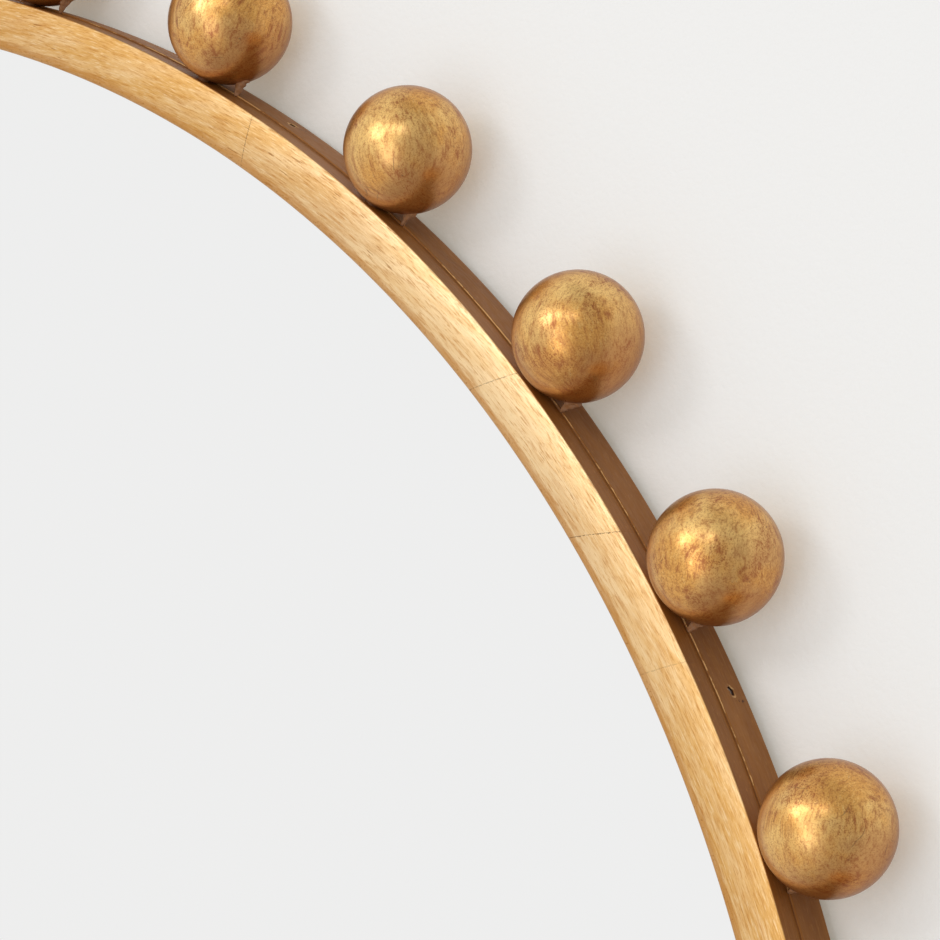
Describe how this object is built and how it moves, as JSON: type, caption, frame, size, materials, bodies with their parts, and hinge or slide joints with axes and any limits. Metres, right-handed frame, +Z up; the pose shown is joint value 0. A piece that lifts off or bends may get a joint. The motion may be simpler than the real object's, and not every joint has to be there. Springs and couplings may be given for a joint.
{
  "type": "girandole mirror",
  "caption": "Round flat wall mirror in a shallow gilded wooden frame with turned gilded balls set all round its rim.",
  "frame": {"origin": "centre of the mirror on the wall's face, where the bumpers rest", "axes": "+X to the right seen from the front, +Y into the wall, +Z up"},
  "size_m": [1.0166, 0.0404, 1.0166],
  "materials": {
    "gold_leaf_face": "worn gold leaf over wood, burnished, fine streaks along the ring",
    "gold_leaf_side": "brown toned gold leaf on the rim's side, thin bright line at the seam",
    "gilded_ball": "burnished gold leaf with brown toning, soft gloss",
    "gilded_filler": "rough filler under thin gold",
    "dowel_wood": "bare birch",
    "mirror_glass": "silvered flat glass",
    "backing_board": "bare fibreboard",
    "brad_steel": "plain drawn steel",
    "bumper_rubber": "matt black rubber",
    "hanger_steel": "zinc plated steel strap",
    "ring_wire": "zinc plated wire",
    "screw_steel": "zinc plated screw"
  },
  "bodies": {
    "frame": {"front_ring": "gold_leaf_face", "rear_ring": "gold_leaf_side", "mirror_glass": "mirror_glass", "backing_board": "backing_board", "ball_01": "gilded_ball", "ball_02": "gilded_ball", "ball_03": "gilded_ball", "ball_04": "gilded_ball", "ball_05": "gilded_ball", "ball_06": "gilded_ball", "ball_07": "gilded_ball", "ball_08": "gilded_ball", "ball_09": "gilded_ball", "ball_10": "gilded_ball", "ball_11": "gilded_ball", "ball_12": "gilded_ball", "ball_13": "gilded_ball", "ball_14": "gilded_ball", "ball_15": "gilded_ball", "ball_16": "gilded_ball", "ball_17": "gilded_ball", "ball_18": "gilded_ball", "ball_19": "gilded_ball", "ball_20": "gilded_ball", "ball_21": "gilded_ball", "ball_22": "gilded_ball", "ball_23": "gilded_ball", "ball_24": "gilded_ball", "ball_25": "gilded_ball", "ball_26": "gilded_ball", "ball_27": "gilded_ball", "ball_28": "gilded_ball", "ball_29": "gilded_ball", "ball_30": "gilded_ball", "ball_31": "gilded_ball", "ball_32": "gilded_ball", "ball_33": "gilded_ball", "ball_34": "gilded_ball", "ball_35": "gilded_ball", "ball_36": "gilded_ball", "ball_dowels": "dowel_wood", "filler_beads": "gilded_filler", "backing_brads": "brad_steel", "wall_bumpers": "bumper_rubber", "hanger_strap_left": "hanger_steel", "hanger_strap_right": "hanger_steel", "hanger_screws": "screw_steel"},
    "left_ring": {"d_ring_left": "ring_wire"},
    "right_ring": {"d_ring_right": "ring_wire"}
  },
  "joints": [
    {"name": "left_ring_swing", "type": "hinge", "parent": "frame", "child": "left_ring", "pos_m": [-0.2, -0.00375, 0.3], "axis": [1, 0, 0], "range_deg": [0, 180]},
    {"name": "right_ring_swing", "type": "hinge", "parent": "frame", "child": "right_ring", "pos_m": [0.2, -0.00375, 0.3], "axis": [1, 0, 0], "range_deg": [0, 180]}
  ]
}
